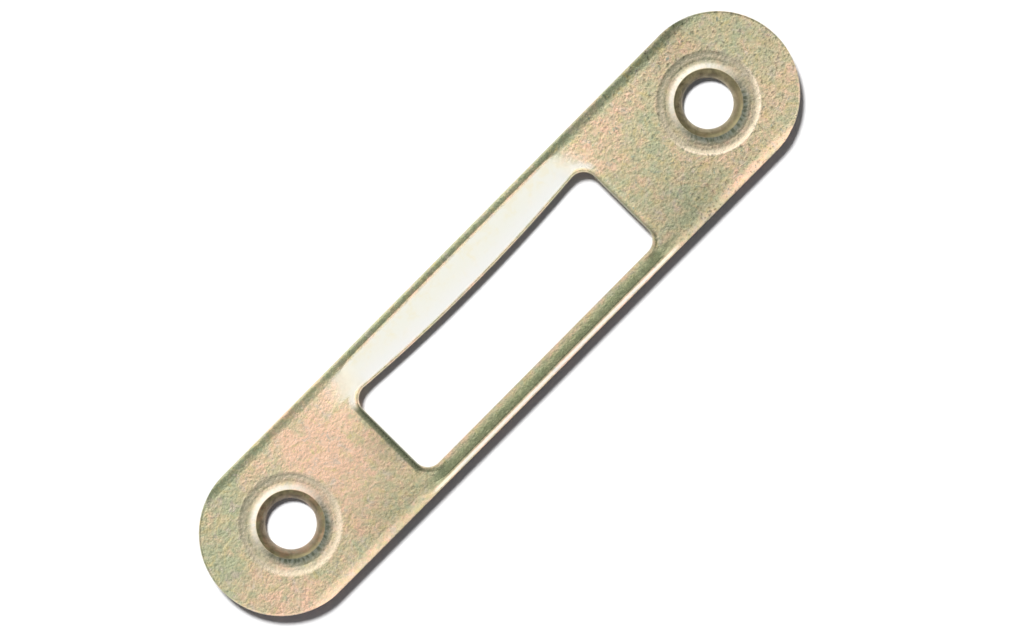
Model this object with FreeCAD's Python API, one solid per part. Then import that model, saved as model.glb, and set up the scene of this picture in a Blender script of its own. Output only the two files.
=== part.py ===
"""Door strike plate, one piece of stamped and plated steel strip.

Millimetres. X runs along the plate, Y across it with the lead-in lip on the +Y side of the latch
opening, and Z out of the front face. The flat back lies on Z = 0 and the plate's middle on X = Y = 0.
"""
import FreeCAD
import Part
import math
import os

from FreeCAD import Vector

# Blank: strip whose long front edges are rolled round, cropped to a half round at each end. The crop
# leaves a crisp edge, only broken by tumbling.
WIDTH = 16.0
LENGTH = 76.2
THICKNESS = 2.0
EDGE_ROLL_WIDTH = 1.08
EDGE_ROLL_DEPTH = 0.34
EDGE_ROLL_TRIM = 0.03
END_EDGE_RADIUS = 0.18
BACK_EDGE_BREAK = 0.15

# Latch opening: a straight narrow rail on one side, the lip with a bowed edge on the other.
OPENING_LENGTH = 31.9
OPENING_CORNER_RADIUS = 1.5
RAIL_WIDTH = 2.0
LIP_WIDTH_AT_ENDS = 3.55
LIP_BOW = 0.73
OPENING_EDGE_RADIUS = 0.5

# Lip: its face is pressed to a ramp that leads the latch into the opening and runs out at both ends.
LIP_CREST_INSET = 0.66
LIP_SLOPE_DEG = 6.5
LIP_RUN_OUT = 3.0
LIP_SHORT_OF_END = 0.5

# Rail: pressed down toward the opening, steeper and steeper, so that a ridge is left along its middle.
RAIL_CREST_INSET = 0.58
RAIL_SLOPE_DEG = 12.0
RAIL_CURVE_RADIUS = 3.6
RAIL_SLOPE_INSIDE_DEG = 8.0
RAIL_RUN_OUT = 3.2
RAIL_PAST_OPENING = 0.8

# Screw holes: countersinks coined into the strip, each inside a low ring of metal raised by the punch.
HOLE_SPACING = 57.6
HOLE_RADIUS = 2.5
THROAT_RADIUS = 1.3
SINK_RADIUS = 3.34
SINK_DIP = 0.10
SINK_HALF_ANGLE_DEG = 45.0
SINK_DRAW_WIDTH = 0.84
RING_WIDTH = 1.0
RING_HEIGHT = 0.07
RING_FOOT_DEPTH = 0.012

# Cutting tools reach this far beyond what they cut, and the forming tools stay this far off the front
# and inside the opening's ends where they run out.
CUT_HEADROOM = 1.0
CUT_BEHIND = 0.2
FORM_LIFT = 0.006
FORM_INSIDE_CORNER = 0.05

FRONT = THICKNESS
HALF_WIDTH = WIDTH / 2
HALF_LENGTH = LENGTH / 2
HALF_STRAIGHT = HALF_LENGTH - HALF_WIDTH
HALF_OPENING = OPENING_LENGTH / 2
RING_CREST_RADIUS = SINK_RADIUS + SINK_DRAW_WIDTH
RING_RADIUS = RING_CREST_RADIUS + RING_WIDTH
UP = Vector(0, 0, 1)


def line(start, end):
    return Part.LineSegment(start, end).toShape()


def arc(start, middle, end):
    return Part.Arc(start, middle, end).toShape()


def half_section():
    """Half of the cropped outline's section, from the middle plane out to its edge, in the XZ plane."""
    front_inset = END_EDGE_RADIUS * (1 - math.sqrt(0.5))
    back_inset = BACK_EDGE_BREAK * (1 - math.sqrt(0.5))
    back_edge = Vector(HALF_WIDTH - BACK_EDGE_BREAK, 0, 0)
    wall_foot = Vector(HALF_WIDTH, 0, BACK_EDGE_BREAK)
    wall_top = Vector(HALF_WIDTH, 0, FRONT - END_EDGE_RADIUS)
    front_edge = Vector(HALF_WIDTH - END_EDGE_RADIUS, 0, FRONT)
    edges = [
        line(Vector(0, 0, 0), back_edge),
        arc(back_edge, Vector(HALF_WIDTH - back_inset, 0, back_inset), wall_foot),
        line(wall_foot, wall_top),
        arc(wall_top, Vector(HALF_WIDTH - front_inset, 0, FRONT - front_inset), front_edge),
        line(front_edge, Vector(0, 0, FRONT)),
        line(Vector(0, 0, FRONT), Vector(0, 0, 0)),
    ]
    return Part.Face(Part.Wire(edges))


def cropped_outline():
    """Two straight halves and a half turn of the same section at each end."""
    section = half_section()
    pieces = []
    for side in (1, -1):
        straight = section.copy()
        straight.rotate(Vector(0, 0, 0), UP, 90 * side)
        straight.translate(Vector(-HALF_STRAIGHT, 0, 0))
        pieces.append(straight.extrude(Vector(2 * HALF_STRAIGHT, 0, 0)))
        end = section.copy()
        end.rotate(Vector(0, 0, 0), UP, -90 * side)
        end = end.revolve(Vector(0, 0, 0), UP, 180)
        end.translate(Vector(side * HALF_STRAIGHT, 0, 0))
        pieces.append(end)
    return pieces[0].multiFuse(pieces[1:]).removeSplitter()


def rolled_strip():
    """The strip before it is cropped, with the roll along both its front edges."""
    x = -HALF_LENGTH - CUT_HEADROOM
    side = HALF_WIDTH + EDGE_ROLL_TRIM
    inner = HALF_WIDTH - EDGE_ROLL_WIDTH
    roll_foot = FRONT - EDGE_ROLL_DEPTH
    below = -CUT_HEADROOM
    section = Part.Wire([
        line(Vector(x, -side, below), Vector(x, side, below)),
        line(Vector(x, side, below), Vector(x, side, roll_foot)),
        Part.ArcOfEllipse(Part.Ellipse(
            Vector(x, side, roll_foot), Vector(x, inner, FRONT), Vector(x, inner, roll_foot),
        ), 0, math.pi / 2).toShape(),
        line(Vector(x, inner, FRONT), Vector(x, -inner, FRONT)),
        Part.ArcOfEllipse(Part.Ellipse(
            Vector(x, -side, roll_foot), Vector(x, -inner, FRONT), Vector(x, -inner, roll_foot),
        ), 0, math.pi / 2).toShape(),
        line(Vector(x, -side, roll_foot), Vector(x, -side, below)),
    ])
    return Part.Face(section).extrude(Vector(LENGTH + 2 * CUT_HEADROOM, 0, 0))


def roll_drop(inset):
    """How far the rolled edge lies below the front, at this distance in from the plate's side."""
    share = max(EDGE_ROLL_WIDTH - inset, 0) / (EDGE_ROLL_WIDTH + EDGE_ROLL_TRIM)
    return EDGE_ROLL_DEPTH * (1 - math.sqrt(1 - share * share))


def form_section(y, depth, past_opening, run_out):
    """Outline of a forming cut across Y: a level floor whose ends rise smoothly to just above the front."""
    outer = HALF_OPENING + past_opening
    inner = outer - run_out
    rim = FRONT + FORM_LIFT
    floor = rim - depth
    top = FRONT + CUT_HEADROOM

    def rise(x_from, z_from, x_to, z_to):
        half_way = (x_from + x_to) / 2
        curve = Part.BezierCurve()
        curve.setPoles([
            Vector(x_from, y, z_from),
            Vector(half_way, y, z_from),
            Vector(half_way, y, z_to),
            Vector(x_to, y, z_to),
        ])
        return curve.toShape()

    return Part.Wire([
        rise(-outer, rim, -inner, floor),
        line(Vector(-inner, y, floor), Vector(inner, y, floor)),
        rise(inner, floor, outer, rim),
        line(Vector(outer, y, rim), Vector(outer, y, top)),
        line(Vector(outer, y, top), Vector(-outer, y, top)),
        line(Vector(-outer, y, top), Vector(-outer, y, rim)),
    ])


def lip_form():
    """Metal pressed away above the lip's ramp, which is straight from its crest into the opening."""
    crest = HALF_WIDTH - LIP_CREST_INSET
    corner = HALF_WIDTH - LIP_WIDTH_AT_ENDS - OPENING_CORNER_RADIUS
    slope = math.tan(math.radians(LIP_SLOPE_DEG))
    at_crest = roll_drop(LIP_CREST_INSET)
    sections = [
        form_section(crest + CUT_BEHIND, at_crest - CUT_BEHIND * slope, -LIP_SHORT_OF_END, LIP_RUN_OUT),
        form_section(corner, at_crest + (crest - corner) * slope, -FORM_INSIDE_CORNER, LIP_RUN_OUT),
    ]
    return Part.makeLoft(sections, True, True)


def rail_depth(run):
    """How far the rail's face lies below the front, at this distance in from its ridge."""
    across = min(run, RAIL_WIDTH - RAIL_CREST_INSET)
    slope = math.tan(math.radians(RAIL_SLOPE_DEG))
    slope_inside = math.tan(math.radians(RAIL_SLOPE_INSIDE_DEG))
    arc_depth = slope * across + across * across / (2 * RAIL_CURVE_RADIUS)
    return roll_drop(RAIL_CREST_INSET) + arc_depth + slope_inside * (run - across)


def rail_form():
    """Metal pressed down between the rail's ridge and the opening, along an arc across the rail."""
    crest = -HALF_WIDTH + RAIL_CREST_INSET
    to_edge = RAIL_WIDTH - RAIL_CREST_INSET
    to_corner = to_edge + OPENING_CORNER_RADIUS
    sections = []
    for run in (-CUT_BEHIND, to_edge / 3, to_edge * 2 / 3, to_edge, to_corner):
        share = run / to_corner
        past = RAIL_PAST_OPENING + share * (-FORM_INSIDE_CORNER - RAIL_PAST_OPENING)
        sections.append(form_section(crest + run, rail_depth(run), past, RAIL_RUN_OUT))
    return Part.makeLoft(sections, True, False)


def opening():
    """The punched latch opening, right through the strip, with its bowed lip edge."""
    rail_edge = -HALF_WIDTH + RAIL_WIDTH
    lip_corner = HALF_WIDTH - LIP_WIDTH_AT_ENDS
    lip_middle = lip_corner - LIP_BOW
    corners = [
        Vector(-HALF_OPENING, rail_edge, -CUT_HEADROOM),
        Vector(HALF_OPENING, rail_edge, -CUT_HEADROOM),
        Vector(HALF_OPENING, lip_corner, -CUT_HEADROOM),
        Vector(-HALF_OPENING, lip_corner, -CUT_HEADROOM),
    ]
    outline = Part.Wire([
        line(corners[0], corners[1]),
        line(corners[1], corners[2]),
        arc(corners[2], Vector(0, lip_middle, -CUT_HEADROOM), corners[3]),
        line(corners[3], corners[0]),
    ])
    punch = Part.Face(outline).extrude(Vector(0, 0, THICKNESS + 2 * CUT_HEADROOM))
    upright = [e for e in punch.Edges if len(e.Vertexes) == 2 and is_upright(e)]
    return punch.makeFillet(OPENING_CORNER_RADIUS, upright)


def is_upright(edge):
    start, end = (v.Point for v in edge.Vertexes)
    return math.hypot(end.x - start.x, end.y - start.y) < 1e-6


def roll_opening_edge(plate):
    """Rounds the front edge of the opening all the way round, on the flat, the lip and the rail."""
    reach = Part.makeBox(
        OPENING_LENGTH, WIDTH - RAIL_WIDTH - LIP_WIDTH_AT_ENDS, FRONT,
        Vector(-HALF_OPENING, RAIL_WIDTH - HALF_WIDTH, FRONT / 2),
    ).BoundBox
    reach.enlarge(OPENING_EDGE_RADIUS / 2)
    rim = [edge for edge in plate.Edges if reach.isInside(edge.BoundBox)]
    return plate.makeFillet(OPENING_EDGE_RADIUS, rim)


def turned(edges, x):
    """A solid turned about the upright axis of the screw hole at x, from half its section."""
    solid = Part.Face(Part.Wire(edges)).revolve(Vector(0, 0, 0), UP, 360)
    solid.translate(Vector(x, 0, 0))
    return solid


def ring(x):
    """The low raised ring around a screw hole, before the countersink is pressed into it."""
    crest = Vector(RING_CREST_RADIUS, 0, FRONT + RING_HEIGHT)
    foot = Vector(RING_RADIUS, 0, FRONT - RING_FOOT_DEPTH)
    half_way = (crest.x + foot.x) / 2
    shoulder = Part.BezierCurve()
    shoulder.setPoles([crest, Vector(half_way, 0, crest.z), Vector(half_way, 0, foot.z), foot])
    base = Vector(RING_RADIUS, 0, FRONT / 2)
    core = Vector(0, 0, FRONT / 2)
    edges = [
        line(core, base),
        line(base, foot),
        shoulder.toShape(),
        line(crest, Vector(0, 0, crest.z)),
        line(Vector(0, 0, crest.z), core),
    ]
    return turned(edges, x)


def countersink(x):
    """The pierced hole, its cone for the screw head, and the metal drawn in around the cone's mouth."""
    crest = Vector(RING_CREST_RADIUS, 0, FRONT + RING_HEIGHT)
    mouth = Vector(SINK_RADIUS, 0, FRONT - SINK_DIP)
    draw = Part.BezierCurve()
    draw.setPoles([crest, Vector((crest.x + mouth.x) / 2, 0, crest.z), mouth])

    half_angle = math.radians(SINK_HALF_ANGLE_DEG)
    throat = Vector(HOLE_RADIUS, 0, mouth.z - (SINK_RADIUS - HOLE_RADIUS) / math.tan(half_angle))
    tangent = min(THROAT_RADIUS * math.tan(half_angle / 2), throat.z - 2 * BACK_EDGE_BREAK)
    throat_radius = tangent / math.tan(half_angle / 2)
    cone_foot = throat + (mouth - throat).normalize() * tangent
    bore_top = throat - UP * tangent
    centre = bore_top + Vector(throat_radius, 0, 0)
    turn_middle = centre + (throat - centre).normalize() * throat_radius

    bottom = Vector(HOLE_RADIUS, 0, -CUT_HEADROOM)
    top = FRONT + CUT_HEADROOM
    edges = [
        draw.toShape(),
        line(mouth, cone_foot),
        arc(cone_foot, turn_middle, bore_top),
        line(bore_top, bottom),
        line(bottom, Vector(0, 0, bottom.z)),
        line(Vector(0, 0, bottom.z), Vector(0, 0, top)),
        line(Vector(0, 0, top), Vector(crest.x, 0, top)),
        line(Vector(crest.x, 0, top), crest),
    ]
    return turned(edges, x)


def break_back_edges(plate):
    """Takes the sharpness off the back edges of the opening and the screw holes, as tumbling does."""
    side = HALF_WIDTH - RAIL_WIDTH + BACK_EDGE_BREAK

    def is_inner_back_edge(edge):
        box = edge.BoundBox
        return box.ZMax < BACK_EDGE_BREAK / 2 and box.YMin > -side and box.YMax < side

    return plate.makeChamfer(BACK_EDGE_BREAK, [e for e in plate.Edges if is_inner_back_edge(e)])


def strike_plate():
    plate = cropped_outline().common(rolled_strip()).removeSplitter()
    plate = plate.cut(lip_form()).cut(rail_form())
    plate = roll_opening_edge(plate.cut(opening()).removeSplitter())
    for x in (-HOLE_SPACING / 2, HOLE_SPACING / 2):
        plate = plate.fuse(ring(x)).cut(countersink(x))
    return break_back_edges(plate.removeSplitter())


os.makedirs("parts", exist_ok=True)
strike_plate().exportStep("parts/strike_plate.step")
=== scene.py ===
import bpy
import bmesh
import math
from mathutils import Matrix, Vector
from types import SimpleNamespace


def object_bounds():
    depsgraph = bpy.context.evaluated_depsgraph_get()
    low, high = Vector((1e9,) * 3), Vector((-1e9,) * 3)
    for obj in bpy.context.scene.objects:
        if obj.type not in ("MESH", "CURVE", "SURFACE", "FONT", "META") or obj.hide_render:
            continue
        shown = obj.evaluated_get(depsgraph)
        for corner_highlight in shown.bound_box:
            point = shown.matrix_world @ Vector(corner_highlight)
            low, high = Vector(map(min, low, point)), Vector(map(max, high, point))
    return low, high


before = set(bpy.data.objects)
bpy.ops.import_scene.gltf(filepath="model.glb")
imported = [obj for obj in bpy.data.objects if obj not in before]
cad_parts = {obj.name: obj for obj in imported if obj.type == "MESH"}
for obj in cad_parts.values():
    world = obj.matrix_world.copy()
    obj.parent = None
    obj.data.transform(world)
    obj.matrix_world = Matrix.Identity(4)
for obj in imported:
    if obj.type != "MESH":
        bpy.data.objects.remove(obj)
cad_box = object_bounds()


# Strike plate. One strip of steel with rolled long edges, cropped, pierced and coined from the front,
# then zinc plated and yellow passivated, which leaves a satin tan skin with rosy and greenish clouds.
# Sizes on it are in millimetres, with X along it, Y across it toward the lip and Z up from its back.
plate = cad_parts["strike_plate"]
MM = 1000.0
HALF_WIDTH = cad_box[1][1] * MM
HOLE_X = 28.8
SINK_RADIUS = 3.34
OPENING_END = 15.95
OPENING_CORNER_RADIUS = 1.5


class Skin:
    """A value in a node tree. Arithmetic on it adds Math nodes, and node() adds any other node."""

    def __init__(self, tree, socket=None):
        self.tree = tree
        self.socket = socket

    def node(self, kind, settings=(), inputs=(), output=0):
        """Adds a node with its settings, then its values or links, and gives one of its outputs."""
        made = self.tree.nodes.new(kind)
        for name, value in dict(settings).items():
            if name == "stops":
                ramp = made.color_ramp.elements
                while len(ramp) < len(value):
                    ramp.new(1.0)
                for element, (place, colour) in zip(ramp, value):
                    element.position = place
                    element.color = colour
            else:
                setattr(made, name, value)
        for name, value in dict(inputs).items():
            if isinstance(value, Skin):
                self.tree.links.new(value.socket, made.inputs[name])
            else:
                made.inputs[name].default_value = value
        return Skin(self.tree, made.outputs[output] if made.outputs else None)

    def math(self, operation, first, second=0.0):
        return self.node("ShaderNodeMath", {"operation": operation}, {0: first, 1: second})

    def __add__(self, other):
        return self.math("ADD", self, other)

    def __radd__(self, other):
        return self.math("ADD", other, self)

    def __sub__(self, other):
        return self.math("SUBTRACT", self, other)

    def __rsub__(self, other):
        return self.math("SUBTRACT", other, self)

    def __mul__(self, other):
        return self.math("MULTIPLY", self, other)

    def __rmul__(self, other):
        return self.math("MULTIPLY", other, self)

    def step(self, low, high):
        """0 below low and 1 above high, smoothly between them; high may be the lower of the two."""
        if low > high:
            return 1.0 - self.step(high, low)
        settings = {"interpolation_type": "SMOOTHSTEP"}
        inputs = {"Value": self, "From Min": low, "From Max": high}
        return self.node("ShaderNodeMapRange", settings, inputs)

    def band(self, low, full, still_full, high):
        """0 up to low, 1 from full to still_full and 0 from high on, smoothly between them."""
        return self.step(low, full) * self.step(high, still_full)

    def noise(self, scale, detail=2.0, roughness=0.5, distortion=0.0):
        """Cloudy noise about zero over this vector, in the vector's own units."""
        inputs = {
            "Vector": self, "Scale": scale, "Detail": detail,
            "Roughness": roughness, "Distortion": distortion,
        }
        return self.node("ShaderNodeTexNoise", {"noise_dimensions": "3D"}, inputs) - 0.5

    def distance(self, point):
        """How far this vector is from a point."""
        settings = {"operation": "DISTANCE"}
        return self.node("ShaderNodeVectorMath", settings, {0: self, 1: point}, output="Value")

    def scaled(self, share):
        """This colour or vector, times a value."""
        return self.node("ShaderNodeVectorMath", {"operation": "SCALE"}, {0: self, "Scale": share})

    def blend(self, first, second):
        """A colour between two, by this value."""
        settings = {"data_type": "RGBA", "clamp_factor": True}
        return self.node("ShaderNodeMix", settings, {0: self, 6: first, 7: second}, output=2)


FRONT_FACE = (1.2, 1.5)
RIGHT_HALF = (-5.0, 5.0)
CALM_FLAT = (-21.0, 2.0, 0.0)
CALM_FLAT_FADE = (9.0, 3.0)


def places(start):
    """Where a point lies on the plate, and how far it is on the front, on the right or on the calm flat."""
    at = SimpleNamespace()
    at.point = start.node("ShaderNodeTexCoord", output="Object").scaled(MM)
    at.x = start.node("ShaderNodeSeparateXYZ", {}, {0: at.point}, output="X")
    at.y = start.node("ShaderNodeSeparateXYZ", {}, {0: at.point}, output="Y")
    at.z = start.node("ShaderNodeSeparateXYZ", {}, {0: at.point}, output="Z")
    at.along = start.math("ABSOLUTE", at.x)
    at.plan = start.node("ShaderNodeCombineXYZ", {}, {"X": at.x, "Y": at.y})
    at.folded = start.node("ShaderNodeCombineXYZ", {}, {"X": at.along, "Y": at.y})
    at.radius = at.folded.distance((HOLE_X, 0.0, 0.0))
    at.outside_sink = at.radius - SINK_RADIUS
    at.round_hole = start.math("ARCTAN2", at.y, at.along - HOLE_X)
    at.front = at.z.step(*FRONT_FACE)
    at.right = at.x.step(*RIGHT_HALF)
    at.calm_flat = at.plan.distance(CALM_FLAT).step(*CALM_FLAT_FADE)
    return at


def by_half(at, left, right):
    """One amount on the plate's left half and another on its right."""
    return left + at.right * (right - left)


NOTCHES_PER_RADIAN = 5.0
NOTCHES_PER_MM_OUT = 0.4


def noises(start, at):
    """The film's clouds and specks, the pebbled grain and the notches that radiate from each hole."""
    notch = {"X": at.round_hole * NOTCHES_PER_RADIAN, "Y": at.radius * NOTCHES_PER_MM_OUT}
    radiating = start.node("ShaderNodeCombineXYZ", {}, notch)
    return SimpleNamespace(
        clouds=at.point.noise(scale=0.36, detail=4.0, roughness=0.6, distortion=0.7),
        patches=at.point.noise(scale=0.95, detail=3.0, roughness=0.55, distortion=0.9),
        mottle=at.point.noise(scale=1.3, detail=5.0, roughness=0.72, distortion=0.4),
        sheen=at.point.noise(scale=1.1, detail=4.0, roughness=0.6, distortion=0.7),
        tone=at.point.noise(scale=2.6, detail=3.0, roughness=0.65, distortion=0.5),
        specks=at.point.noise(scale=2.7, detail=3.0, roughness=0.6, distortion=0.8),
        grain=at.point.noise(scale=3.4, detail=3.0, roughness=0.6),
        pits=at.point.noise(scale=3.4, detail=2.0, roughness=0.5),
        notches=radiating.noise(scale=3.0, detail=2.0, roughness=0.6),
    )


# Rail. Bands are measured inward from its ridge, and ends outward from RAIL_END.
RAIL_RIDGE = 0.42 - HALF_WIDTH
RAIL_END = 16.6
RIDGE_WORN = (-0.36, -0.24, -0.08, 0.08)
RIDGE_WORN_END = (0.9, -0.9)
RIDGE_END_RAGGED = 1.5
# RIDGE_DARK and FILM_DARK_END place painted shade inside the ridge and at the film's ends.
RIDGE_DARK = (-0.04, 0.10, 0.20, 0.32)
RIDGE_DARK_END = (-0.2, -1.6)
FILM_BAND = (0.0, 0.2, 0.78, 1.33)
FILM_END = (1.6, -0.8)
FILM_DARK_END = (-1.4, -0.2)


def rail_masks(at, noise):
    """The rail's ridge, rubbed bright outside and painted with shade inside, and the green film toward the
    opening, with painted shade at its ends.
    """
    inward = at.y - RAIL_RIDGE
    past_end = at.along - RAIL_END
    ragged_end = past_end + noise.mottle * RIDGE_END_RAGGED
    film = inward.band(*FILM_BAND) * at.front * past_end.step(*FILM_END)
    return SimpleNamespace(
        worn=inward.band(*RIDGE_WORN) * at.front * ragged_end.step(*RIDGE_WORN_END),
        dark=inward.band(*RIDGE_DARK) * at.front * past_end.step(*RIDGE_DARK_END),
        film=film,
        film_end=film * past_end.step(*FILM_DARK_END),
    )


# Lip. Wear is measured from the opening's edge and from the crest, and the painted corner highlights from
# their centre.
LIP_WIDTH_AT_ENDS = 3.55
LIP_EDGE_AT_ENDS = HALF_WIDTH - LIP_WIDTH_AT_ENDS
LIP_BOW = 0.73
LIP_CREST = HALF_WIDTH - 0.7
LIP_WORN_FROM_EDGE = (0.1, 0.4)
LIP_WORN_TO_CREST = (0.01, -0.33)
LIP_WEAR_END = 15.1
LIP_WEAR_FADE = (1.7, -1.7)
LIP_WEAR_LEAN = 0.5
LIP_WEAR_SKEW = 0.04
LIP_WEAR_RAGGED = 2.0
CREST_LINE = (-0.40, -0.15, 0.0, 0.20)
CREST_SHADOW = (-0.3, -0.1, 0.1, 0.3)
CREST_LINE_END = (15.5, 14.0)
# The CORNER_ values place a painted highlight round the opening's two corners on the lip side.
CORNER_CENTRE = (OPENING_END - OPENING_CORNER_RADIUS, LIP_EDGE_AT_ENDS - OPENING_CORNER_RADIUS, 0.0)
CORNER_INSIDE = (1.72, 1.86)
CORNER_OUTSIDE = (2.6, 2.05)
CORNER_RAGGED = 0.8
CORNER_ACROSS = (3.1, 4.1)
CORNER_ALONG = (14.2, 15.2)


def lip_masks(start, at, noise):
    """The lip's ramp, burnished by the latch, the line along its crest and a painted highlight at the
    opening's corners.
    """
    from_edge = at.y - (LIP_EDGE_AT_ENDS - LIP_BOW) - at.x * at.x * (LIP_BOW / OPENING_END ** 2)
    above_crest = at.y - LIP_CREST
    past_end = at.along + at.x * LIP_WEAR_SKEW + above_crest * LIP_WEAR_LEAN - LIP_WEAR_END
    past_end = past_end + noise.mottle * LIP_WEAR_RAGGED
    worn = from_edge.step(*LIP_WORN_FROM_EDGE) * above_crest.step(*LIP_WORN_TO_CREST) * at.front
    worn = worn * past_end.step(*LIP_WEAR_FADE)

    from_corner = at.folded.distance(CORNER_CENTRE)
    corner_highlight = from_corner.step(*CORNER_INSIDE)
    corner_highlight = corner_highlight * (from_corner + noise.mottle * CORNER_RAGGED).step(*CORNER_OUTSIDE)
    corner_highlight = corner_highlight * at.y.step(*CORNER_ACROSS) * at.along.step(*CORNER_ALONG) * at.front
    return SimpleNamespace(
        from_edge=from_edge,
        above_crest=above_crest,
        worn=worn,
        corner_highlight=corner_highlight,
        bright=start.math("MAXIMUM", worn, corner_highlight),
        crest_line=above_crest.band(*CREST_LINE) * at.along.step(*CREST_LINE_END),
        crest_shadow=above_crest.band(*CREST_SHADOW) * at.along.step(*CREST_LINE_END),
    )


BURNISHED = (0.725, 0.725, 0.66, 1)
BURNISHED_EDGE = (0.73, 0.735, 0.72, 1)
BURNISHED_WARM = (0.725, 0.70, 0.575, 1)
# LIP_END_HIGHLIGHT is a painted highlight toward both ends of the lip, stronger at the left end.
LIP_END_HIGHLIGHT = (0.90, 0.85, 0.71, 1)
WARM_PATCHES = (-0.08, 0.08)
WARMER_PER_MM = 0.03
WHITE_NEAR_EDGE = (2.2, 0.4)
CREAM_LEFT_END = (-13.1, -15.4)
CREAM_RIGHT_END = (13.3, 15.2)
CREAM_RIGHT_SHARE = 0.75


def burnished_and_highlight_colour(at, noise, lip):
    """Bare pale zinc on the lip: white beside the opening, cream in patches, and a painted highlight toward
    both ends.
    """
    patches = noise.sheen * 0.5 + noise.patches * 0.5 + lip.above_crest * WARMER_PER_MM
    colour = patches.step(*WARM_PATCHES).blend(BURNISHED, BURNISHED_WARM)
    colour = lip.from_edge.step(*WHITE_NEAR_EDGE).blend(colour, BURNISHED_EDGE)
    cream = at.x.step(*CREAM_LEFT_END) + at.x.step(*CREAM_RIGHT_END) * CREAM_RIGHT_SHARE
    return cream.blend(colour, LIP_END_HIGHLIGHT)


# Rings. Bands are measured outward from the countersink's mouth, and sides across from its middle.
RING_BAND = (0.0, 0.1, 1.4, 1.95)
RING_MOUTH = (0.9, 0.2)
# RING_FLANK, the CREST_ and the HOLLOW_ bands place painted shade on the ring's sides, on its crest on the
# lip side and in its hollow on the rail side.
RING_FLANK = (-2.4, -0.6, 0.6, 2.4)
RING_SHOULDER = (0.95, 1.4, 1.45, 1.8)
CREST_BAND = (0.35, 0.7, 0.95, 1.5)
CREST_SIDE = (0.6, 2.2)
HOLLOW_BAND = (0.5, 0.7, 1.1, 1.5)
HOLLOW_SIDE = (-0.5, -2.2)
# The ring's foot has painted shade on the lip side and a painted highlight on the rail side.
FOOT_BAND = (1.46, 1.56, 1.66, 1.80)
FOOT_FURTHER_AT_RIGHT = 0.06
FOOT_SHADE_SIDE = (1.4, 3.2)
FOOT_HIGHLIGHT_SIDE = (1.0, -2.0)
WRINKLE_NOTCHES = (0.06, -0.10)
WRINKLE_BAND = (0.8, 0.2)
WRINKLE_SIDE = (0.4, -1.6)
MOUTH_SHARE = 0.7
MOUTH_NOTCHED = 1.2
MOUTH_LESS_ON_FLANK = 0.6
MOUTH_LESS_ON_CREST = 0.7


def ring_masks(at, noise):
    """The raised ring round each hole: worn mouth, wrinkles, shoulder, painted shade on its hollow, flank
    and crest, and a foot with painted shade on the lip side and a painted highlight on the rail side.
    """
    out = at.outside_sink
    whole = out.band(*RING_BAND) * at.front
    mouth = whole * out.step(*RING_MOUTH)
    flank = whole * at.y.band(*RING_FLANK)
    crest = out.band(*CREST_BAND) * at.y.step(*CREST_SIDE) * by_half(at, 0.6, 1.0) * at.front
    hollow = out.band(*HOLLOW_BAND) * at.y.step(*HOLLOW_SIDE) * by_half(at, 0.25, 1.0) * at.front
    foot = (out - at.right * FOOT_FURTHER_AT_RIGHT).band(*FOOT_BAND) * at.front
    wrinkles = noise.notches.step(*WRINKLE_NOTCHES) * out.step(*WRINKLE_BAND) * at.y.step(*WRINKLE_SIDE)
    worn_mouth = mouth * (MOUTH_SHARE + noise.notches * MOUTH_NOTCHED)
    worn_mouth = worn_mouth * (1.0 - flank * MOUTH_LESS_ON_FLANK) * (1.0 - crest * MOUTH_LESS_ON_CREST)
    return SimpleNamespace(
        whole=whole,
        mouth=mouth,
        flank=flank,
        crest=crest,
        hollow=hollow,
        shoulder=out.band(*RING_SHOULDER) * at.front,
        foot_shade=foot * at.y.step(*FOOT_SHADE_SIDE),
        foot_highlight=foot * at.y.step(*FOOT_HIGHLIGHT_SIDE) * by_half(at, 0.25, 0.75),
        wrinkles=wrinkles * whole,
        worn_mouth=worn_mouth,
    )


# Countersinks. Bands are measured outward from the mouth, so they are negative inside it.
SUNK_MOUTH = (0.35, 0.31, 0.18, 1)
SUNK_THROAT = (0.37, 0.30, 0.205, 1)
SUNK_BROWN = (0.43, 0.28, 0.18, 1)
SUNK_BAND = (0.06, -0.04)
SUNK_ABOVE_BACK = (0.15, 0.35)
THROAT_BAND = (-0.1, -0.6)
THROAT_RAGGED = 0.9
BROWN_PATCHES = (-0.02, 0.12)
SUNK_SHADE = 1.12
# SUNK_DARK_SIDE and SUNK_DARKER paint shade on the lip's side of each countersink, and the SUNK_RIM_ bands a
# painted highlight on its rim on the rail's side.
SUNK_DARK_SIDE = (-2.0, 2.4)
SUNK_DARKER = 0.5
SUNK_STREAKS = 1.8
SUNK_RIM_BAND = (-0.32, -0.1)
SUNK_RIM_SIDE = (-1.2, -2.8)
SUNK_RIM_LIGHTER = 0.4


def sunk_colour(at, noise):
    """Olive and brown film in the countersinks, with painted shade on the lip's side and a painted highlight
    on the rim on the rail's side.
    """
    throat = (at.outside_sink + noise.mottle * THROAT_RAGGED).step(*THROAT_BAND)
    colour = (throat * by_half(at, 1.0, 0.4)).blend(SUNK_MOUTH, SUNK_THROAT)
    brown = noise.patches.step(*BROWN_PATCHES) * by_half(at, 0.65, 0.2)
    colour = brown.blend(colour, SUNK_BROWN)
    shade = SUNK_SHADE - at.y.step(*SUNK_DARK_SIDE) * SUNK_DARKER + noise.sheen * SUNK_STREAKS
    light_rim = at.outside_sink.step(*SUNK_RIM_BAND) * at.y.step(*SUNK_RIM_SIDE)
    return colour.scaled(shade + light_rim * SUNK_RIM_LIGHTER)


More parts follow.
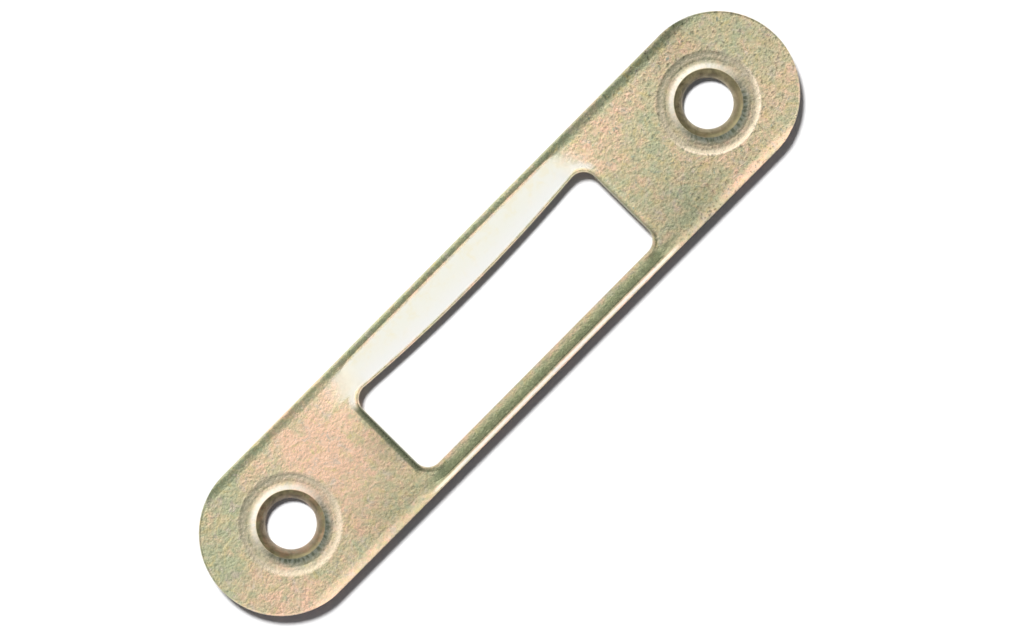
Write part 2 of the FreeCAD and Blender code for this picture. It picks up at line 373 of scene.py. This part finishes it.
# The RIM_ bands place painted shade on the opening's short ends, darker at the left.
RIM_LEFT = (-16.72, -16.46, -16.0, -15.8)
RIM_LEFT_SHARE = 0.92
RIM_RIGHT = (15.7, 15.9, 16.05, 16.3)
RIM_RIGHT_SHARE = 0.6
RIM_ACROSS = (-5.8, -4.8, 3.0, 4.2)
RIM_ABOVE_BACK = (0.9, 1.3)


def rim_mask(at):
    """Painted shade on the rounded edge at the two short ends of the opening."""
    rim = at.x.band(*RIM_LEFT) * RIM_LEFT_SHARE + at.x.band(*RIM_RIGHT) * RIM_RIGHT_SHARE
    return rim * at.y.band(*RIM_ACROSS) * at.z.step(*RIM_ABOVE_BACK)


GREENISH = (0.50, 0.51, 0.335, 1)
TAN = (0.62, 0.53, 0.345, 1)
ROSY = (0.79, 0.53, 0.385, 1)
FILM_HUES = ((0.0, GREENISH), (0.45, TAN), (1.0, ROSY))
MEAN_HUE = 0.43
CLOUD_HUE = 1.8
PATCH_HUE = 1.6
TONE_HUE = 0.6
MEAN_SHADE = 1.045
# LIGHTER_PER_MM paints light toward the lip and shade toward the rail, fading out toward both ends.
LIGHTER_PER_MM = 0.018
LIGHTER_WITHIN = (33.0, 23.0)
ROLL_AT_RAIL = (-6.9, -7.4)
ROLL_AT_LIP = (6.3, 7.2)
# Painted shade on the roll along the lip side, from the middle to the right end.
SHADED_ROLL = (6.7, 7.2)
SHADED_ROLL_START = (8.0, 18.0)
# A painted highlight in a narrow band just right of the opening's right end.
BESIDE_OPENING = (16.22, 16.4, 16.6, 16.85)
BESIDE_OPENING_ACROSS = (-5.0, -4.0, 2.5, 3.5)
# Tinted places on the film: middle along and across, reach, how much redder and how much lighter. The
# lighter amounts are partly tone and partly painted light: lighter beside both ends of the lip, darker
# beside the opening's left end.
TINTS = (
    (-22.0, 3.0, 10.5, 0.62, 0.07),
    (-16.4, 5.6, 4.6, 0.10, 0.20),
    (15.9, 5.2, 3.4, 0.12, 0.20),
    (-16.4, -1.0, 3.8, -0.14, -0.22),
    (21.0, -7.4, 5.5, -0.10, -0.10),
    (-33.5, -5.5, 7.0, 0.30, 0.0),
    (-35.0, 4.0, 7.5, -0.34, 0.0),
    (-36.8, 1.0, 3.0, -0.30, -0.04),
    (-34.6, -1.2, 1.8, 0.45, 0.0),
    (-20.0, -7.0, 6.0, -0.14, -0.09),
    (20.0, 5.0, 5.5, 0.24, 0.04),
    (19.0, -6.0, 6.5, -0.22, -0.09),
    (30.0, 6.5, 5.0, 0.16, -0.10),
    (32.0, -6.0, 6.0, 0.14, 0.02),
    (24.5, 1.0, 6.0, -0.16, 0.0),
    (34.0, 2.0, 6.5, -0.16, 0.0),
)


def film_hue_and_shade(at, noise, lip):
    """How rosy the film is, from greenish at 0 to rosy at 1, and how light, with its tinted places, painted
    light toward the lip and beside the opening, and painted shade on the lip side's roll.
    """
    hue = MEAN_HUE + noise.clouds * CLOUD_HUE + noise.patches * PATCH_HUE + noise.tone * TONE_HUE
    shade = MEAN_SHADE + at.y * at.along.step(*LIGHTER_WITHIN) * LIGHTER_PER_MM
    highlight_beside_opening = at.x.band(*BESIDE_OPENING) * at.y.band(*BESIDE_OPENING_ACROSS)
    zones = [
        (at.y.step(*ROLL_AT_RAIL), 0.28, 0.0),
        (at.y.step(*ROLL_AT_LIP), -0.42, 0.0),
        (at.y.step(*SHADED_ROLL) * at.x.step(*SHADED_ROLL_START), 0.0, -0.24),
        (lip.crest_line, 0.6, 0.0),
        (lip.crest_shadow, 0.0, -0.16),
        (highlight_beside_opening, 0.0, 0.14),
    ]
    for centre_x, centre_y, reach, redder, lighter in TINTS:
        zones.append((at.plan.distance((centre_x, centre_y, 0.0)).step(reach, 0.0), redder, lighter))
    for zone, redder, lighter in zones:
        hue = hue + zone * redder
        shade = shade + zone * lighter
    return hue, shade


STRAW = (0.66, 0.55, 0.28, 1)
LILAC = (0.60, 0.51, 0.43, 1)
TEAL_SPECK = (0.29, 0.36, 0.30, 1)
GREEN_FILM = (0.54, 0.575, 0.34, 1)
COINED = (0.74, 0.635, 0.48, 1)
# A painted highlight on the rings' foot, on the rail side.
FOOT_HIGHLIGHT_COLOUR = (0.98, 0.82, 0.64, 1)
COINED_EDGE = (0.64, 0.62, 0.555, 1)
# COINED_BRIGHT is a painted highlight on the lip side of each countersink's mouth.
COINED_BRIGHT = (0.71, 0.685, 0.635, 1)
# DARK_RIM is the colour of painted shade on the opening's short ends, and of the dark notches at the mouths.
DARK_RIM = (0.17, 0.19, 0.12, 1)
# A painted highlight at the opening's corners on the lip side.
PAINTED_CORNER_HIGHLIGHT = (0.90, 0.87, 0.78, 1)
STRAW_SHEEN = (0.02, 0.22)
LILAC_SHEEN = (-0.02, -0.22)
SHEEN_SHARE = 0.7
SPECK_DEPTH = (-0.12, -0.21)
CALM_SPECKS_LESS = 0.7
PIT_DEPTH = (-0.10, -0.18)
PITTED_FROM = (12.0, 26.0)
RING_PITS_LESS = 0.5
GREEN_FILM_SHARE = 0.75
COINED_SHARE = 0.3
COINED_OUTWARD = (0.9, 1.35)
COINED_OUTWARD_SHARE = 0.5
BRIGHT_MOUTH_SIDE = (0.0, 2.4)
WRINKLE_SHARE = 0.7
BURNISHED_SHARE = 0.95
CORNER_SHARE = 0.85
RAIL_SMOOTH = 0.6
RING_CALM = 0.5
MOTTLE_SHADE = 0.5
GRAIN_SHADE = 0.6
PATCH_SHADE = 0.2
CALM_GRAIN_LESS = 0.5
ROUGHNESS = 0.27
MOTTLE_ROUGHER = 0.10
SUNK_ROUGHER = 0.16
SMOOTH_GLOSSIER = 0.07
MOUTH_GLOSSIER = 0.06
MOTTLE_HEIGHT = 0.8
SPECK_HEIGHT = 0.4
WORN_METALLIC_LESS = 0.5
BUMP_DISTANCE = 0.000044


def plated_skin():
    """The plate's one material, laid on as the plate is made: film, coined forms, then wear, with painted
    light and shade among them.
    """
    material = bpy.data.materials.new("yellow_passivated_zinc")
    material.use_nodes = True
    material.node_tree.nodes.clear()
    start = Skin(material.node_tree)
    at = places(start)
    noise = noises(start, at)
    rail = rail_masks(at, noise)
    lip = lip_masks(start, at, noise)
    ring = ring_masks(at, noise)
    sunk = at.outside_sink.step(*SUNK_BAND) * at.z.step(*SUNK_ABOVE_BACK)
    burnished_and_lit = start.math("MAXIMUM", lip.worn, rail.worn * RAIL_SMOOTH)
    calm = start.math("MAXIMUM", at.calm_flat, ring.whole * RING_CALM)

    hue, shade = film_hue_and_shade(at, noise, lip)
    specks = noise.specks.step(*SPECK_DEPTH) * by_half(at, 0.5, 0.85)
    specks = specks * (1.0 - at.calm_flat * CALM_SPECKS_LESS)
    coined = ring.whole * (COINED_SHARE + at.outside_sink.step(*COINED_OUTWARD) * COINED_OUTWARD_SHARE)
    film_layers = (
        (noise.sheen.step(*STRAW_SHEEN) * SHEEN_SHARE, STRAW),
        (noise.sheen.step(*LILAC_SHEEN) * SHEEN_SHARE, LILAC),
        (specks, TEAL_SPECK),
        (rail.film * GREEN_FILM_SHARE, GREEN_FILM),
        (coined, COINED),
        (ring.foot_highlight, FOOT_HIGHLIGHT_COLOUR),
    )
    colour = start.node("ShaderNodeValToRGB", {"stops": FILM_HUES}, {"Fac": hue})
    for share, layer in film_layers:
        colour = share.blend(colour, layer)

    pits = noise.pits.step(*PIT_DEPTH) * at.x.step(*PITTED_FROM) * at.front
    pits = pits * (1.0 - ring.whole * RING_PITS_LESS)
    # Darker places: pits are dark specks and the worn ridge is toned down; the rest is painted shade, inside
    # the rail's ridge, at the film's ends and on the rings' foot, hollow, flank and crest.
    darkenings = (
        (rail.dark, 0.4),
        (rail.film_end, 0.3),
        (rail.worn, 0.12),
        (pits, 0.34),
        (ring.foot_shade, 0.24),
        (ring.hollow, 0.32),
        (ring.flank, 0.17),
        (ring.crest, 0.3),
    )
    for mask, darker in darkenings:
        shade = shade - mask * darker
    shade = shade + noise.mottle * MOTTLE_SHADE + noise.patches * PATCH_SHADE
    shade = shade + noise.grain * (1.0 - calm * CALM_GRAIN_LESS) * GRAIN_SHADE
    colour = colour.scaled(shade)

    # Wear and painted light: the mouth is worn and painted brighter on the lip side, the opening's short
    # ends get painted shade, the lip's ends and the opening's corners a painted highlight, and the
    # countersinks painted shade and a painted highlight.
    wear_layers = (
        (ring.worn_mouth, at.y.step(*BRIGHT_MOUTH_SIDE).blend(COINED_EDGE, COINED_BRIGHT)),
        (ring.wrinkles * WRINKLE_SHARE, DARK_RIM),
        (rim_mask(at), DARK_RIM),
        (burnished_and_lit * BURNISHED_SHARE, burnished_and_highlight_colour(at, noise, lip)),
        (lip.corner_highlight * CORNER_SHARE, PAINTED_CORNER_HIGHLIGHT),
        (sunk, sunk_colour(at, noise)),
    )
    for share, layer in wear_layers:
        colour = share.blend(colour, layer)

    height = noise.grain + noise.mottle * MOTTLE_HEIGHT + noise.specks * SPECK_HEIGHT
    flattened = (
        (burnished_and_lit, 0.9),
        (calm, 0.35),
        (lip.corner_highlight, 0.85),
        (ring.whole, 0.1),
        (ring.mouth, 0.45),
    )
    for mask, flatter in flattened:
        height = height * (1.0 - mask * flatter)
    height = height + ring.shoulder * by_half(at, 0.35, 0.55)
    roughness = ROUGHNESS + noise.mottle * MOTTLE_ROUGHER + sunk * SUNK_ROUGHER
    roughness = roughness - burnished_and_lit * SMOOTH_GLOSSIER - ring.mouth * MOUTH_GLOSSIER
    bump = start.node("ShaderNodeBump", {}, {"Strength": 1.0, "Distance": BUMP_DISTANCE, "Height": height})
    shader = start.node("ShaderNodeBsdfPrincipled", {}, {
        "Base Color": colour,
        "Metallic": 1.0 - lip.bright * WORN_METALLIC_LESS,
        "Roughness": roughness,
        "Normal": bump,
    })
    start.node("ShaderNodeOutputMaterial", {}, {"Surface": shader})
    return material


plate.material_slots[0].material = plated_skin()


# Floor. A plain white sheet just below the plate's flat back, which takes its shadow.
# It is only there to stand the plate on, and isn't part of the object.
FLOOR_HALF = 2.0
FLOOR_GAP = 0.00005
PAPER_FINISH = {"Base Color": (0.95, 0.95, 0.95, 1), "Roughness": 0.9, "Specular IOR Level": 0.0}
floor_mesh = bpy.data.meshes.new("floor")
bm = bmesh.new()
bmesh.ops.create_grid(bm, x_segments=1, y_segments=1, size=FLOOR_HALF)
bmesh.ops.translate(bm, verts=bm.verts, vec=(0, 0, -FLOOR_GAP))
bm.to_mesh(floor_mesh)
bm.free()
floor = bpy.data.objects.new("floor", floor_mesh)
bpy.context.scene.collection.objects.link(floor)
paper = bpy.data.materials.new("white_paper")
paper.use_nodes = True
for socket, value in PAPER_FINISH.items():
    paper.node_tree.nodes["Principled BSDF"].inputs[socket].default_value = value
floor_mesh.materials.append(paper)


# Light. The gloss shows a dim room on the +Y side, a broad pale lamp on the -Y side and a pale
# horizon, by the angle that a reflection leans from straight up toward the lamp, in degrees.
# One lamp high on the +Y side throws the shadow on the floor.
LAMP_TURN = math.radians(5)
ROOM_LIGHT = 0.36
OVERHEAD_LIGHT = 0.57
OVERHEAD_LEAN = (-16.0, 2.0, 66.0, 92.0)
LAMP_LIGHT = 0.50
LAMP_LEAN = (-1.0, 7.5, 60.0, 84.0)
CORE_LIGHT = 0.22
CORE_LEAN = (14.0, 26.0, 52.0, 70.0)
HORIZON_LIGHT = 0.95
HORIZON_LEAN = (-36.0, -60.0)
BOTH_ENDS = (0.12, 0.42)
BOTH_ENDS_DIMMER = 0.2
RIGHT_END = (0.35, 0.7)
RIGHT_END_LOW = (0.5, 0.2)
RIGHT_END_DIMMER = 0.55
AMBIENT = 0.115
AMBIENT_TINT = (0.95, 0.97, 1.10, 1)
ROOM_TINT = (0.87, 1.0, 0.91, 1)
LAMP_TINT = (1.0, 0.99, 0.97, 1)
WHITE = (1, 1, 1, 1)
NO_DIFFUSE_BOUNCE = (0.6, 0.4)
world = bpy.data.worlds.new("studio")
bpy.context.scene.world = world
world.use_nodes = True
world.node_tree.nodes.clear()
sky = Skin(world.node_tree)
toward = sky.node("ShaderNodeTexCoord", output="Generated")
lamp_way = {0: toward, 1: (-math.sin(LAMP_TURN), -math.cos(LAMP_TURN), 0)}
lampward = sky.node("ShaderNodeVectorMath", {"operation": "DOT_PRODUCT"}, lamp_way, output="Value")
endways = sky.node("ShaderNodeSeparateXYZ", {}, {0: toward}, output="X")
upward = sky.node("ShaderNodeSeparateXYZ", {}, {0: toward}, output="Z")
lean = sky.math("DEGREES", sky.math("ARCTAN2", lampward, upward))
overhead = lean.band(*OVERHEAD_LEAN)
horizon = lean.step(*HORIZON_LEAN)
gloss = ROOM_LIGHT + overhead * OVERHEAD_LIGHT + horizon * HORIZON_LIGHT
gloss = gloss + lean.band(*LAMP_LEAN) * LAMP_LIGHT + lean.band(*CORE_LEAN) * CORE_LIGHT
ends = 1.0 - sky.math("ABSOLUTE", endways).step(*BOTH_ENDS) * BOTH_ENDS_DIMMER
ends = ends - endways.step(*RIGHT_END) * upward.step(*RIGHT_END_LOW) * RIGHT_END_DIMMER
ray = sky.tree.nodes.new("ShaderNodeLightPath")
seen = Skin(sky.tree, ray.outputs["Is Camera Ray"])
before_floor = Skin(sky.tree, ray.outputs["Diffuse Depth"]).step(*NO_DIFFUSE_BOUNCE)
glossy = Skin(sky.tree, ray.outputs["Is Glossy Ray"]) * before_floor
strength = seen + glossy * gloss * ends + (1.0 - seen - glossy) * AMBIENT
gloss_tint = (overhead + horizon).blend(ROOM_TINT, LAMP_TINT)
tint = glossy.blend(seen.blend(AMBIENT_TINT, WHITE), gloss_tint)
backdrop = sky.node("ShaderNodeBackground", {}, {"Color": tint, "Strength": strength})
sky.node("ShaderNodeOutputWorld", {}, {"Surface": backdrop})

SHADOW_LIFT = math.radians(61)
SHADOW_FROM = Vector((0.263, 0.965, 0)).normalized()
SHADOW_LAMP_ENERGY = 3.7
SHADOW_LAMP_SPREAD = math.radians(12)
lamp_data = bpy.data.lights.new("shadow_lamp", "SUN")
lamp_data.energy = SHADOW_LAMP_ENERGY
lamp_data.angle = SHADOW_LAMP_SPREAD
lamp = bpy.data.objects.new("shadow_lamp", lamp_data)
bpy.context.scene.collection.objects.link(lamp)
toward_lamp = SHADOW_FROM * math.cos(SHADOW_LIFT) + Vector((0, 0, math.sin(SHADOW_LIFT)))
lamp.rotation_euler = toward_lamp.to_track_quat("Z", "Y").to_euler()
lamp.visible_glossy = False


# Camera. Straight above the plate, turned so that the plate runs from lower left to upper right,
# with the plate's middle at the pixel of the photograph where it lies.
PHOTO_WIDTH = 1032
PHOTO_HEIGHT = 630
PLATE_PIXEL = (499.45, 313.5)
PLATE_TURN = math.radians(45.24)
PLATE_WIDTH = cad_box[1][1] - cad_box[0][1]
PLATE_WIDTH_PIXELS = 164.9
PIXEL = PLATE_WIDTH / PLATE_WIDTH_PIXELS
DISTANCE = 0.6
NEAREST_SEEN = 0.01
FARTHEST_SEEN = 10.0
camera_data = bpy.data.cameras.new("camera")
camera = bpy.data.objects.new("camera", camera_data)
bpy.context.scene.collection.objects.link(camera)
bpy.context.scene.camera = camera
camera_data.lens = camera_data.sensor_width * DISTANCE / (PHOTO_WIDTH * PIXEL)
camera_data.clip_start = NEAREST_SEEN
camera_data.clip_end = FARTHEST_SEEN
aside = (PHOTO_WIDTH / 2 - PLATE_PIXEL[0]) * PIXEL
above = (PLATE_PIXEL[1] - PHOTO_HEIGHT / 2) * PIXEL
turn = Matrix.Rotation(-PLATE_TURN, 4, "Z")
camera.location = turn @ Vector((aside, above, 0)) + Vector((0, 0, cad_box[1][2] + DISTANCE))
camera.rotation_euler = turn.to_euler()

bpy.context.scene.view_settings.view_transform = "Standard"
